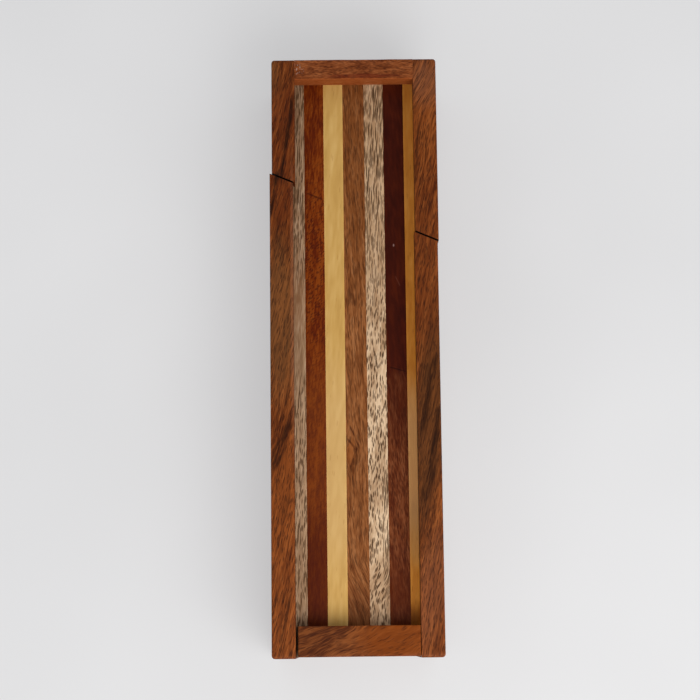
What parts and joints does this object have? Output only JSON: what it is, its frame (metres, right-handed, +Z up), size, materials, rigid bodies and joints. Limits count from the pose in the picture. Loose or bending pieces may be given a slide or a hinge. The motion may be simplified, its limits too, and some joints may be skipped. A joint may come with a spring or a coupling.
{
  "type": "puzzle box",
  "caption": "Long wooden puzzle box with a striped sliding lid; a slanted cut parts the lid's head from the side rails, and a hidden tilting pin locks it.",
  "frame": {"origin": "centre of the underside, in the plane that the box stands on", "axes": "+X across the box, +Y along it towards the lid's head, +Z up"},
  "size_m": [0.0705, 0.25, 0.05],
  "materials": {
    "case_wood": "oiled, satin",
    "grey_wood": "oiled, satin",
    "russet_wood": "oiled, satin",
    "yellow_wood": "oiled, satin",
    "brown_wood": "oiled, satin",
    "speckled_wood": "oiled, satin",
    "dark_wood": "oiled, satin",
    "amber_wood": "oiled, satin",
    "peg_wood": "bare",
    "pin_steel": "drawn bar"
  },
  "bodies": {
    "case": {"floor_board": "case_wood", "left_wall": "case_wood", "right_wall": "case_wood", "near_wall": "case_wood", "far_wall": "case_wood", "left_rail": "case_wood", "right_rail": "case_wood", "corner_dowels": "peg_wood"},
    "lid": {"head_left_stub": "case_wood", "head_right_stub": "case_wood", "head_rail": "case_wood", "end_block": "case_wood", "grey_strip": "grey_wood", "russet_strip": "russet_wood", "yellow_strip": "yellow_wood", "brown_strip": "brown_wood", "speckled_strip": "speckled_wood", "dark_strip": "dark_wood", "amber_strip": "amber_wood", "lock_tongue": "peg_wood", "head_dowels": "peg_wood", "block_dowels": "peg_wood"},
    "pin": {"lock_pin": "pin_steel"}
  },
  "joints": [
    {"name": "lid_slide", "type": "slide", "parent": "case", "child": "lid", "axis": [0, 1, 0], "range_m": [0, 0.15]},
    {"name": "pin_tilt", "type": "slide", "parent": "case", "child": "pin", "axis": [1, 0, 0], "range_m": [0, 0.0159]}
  ]
}
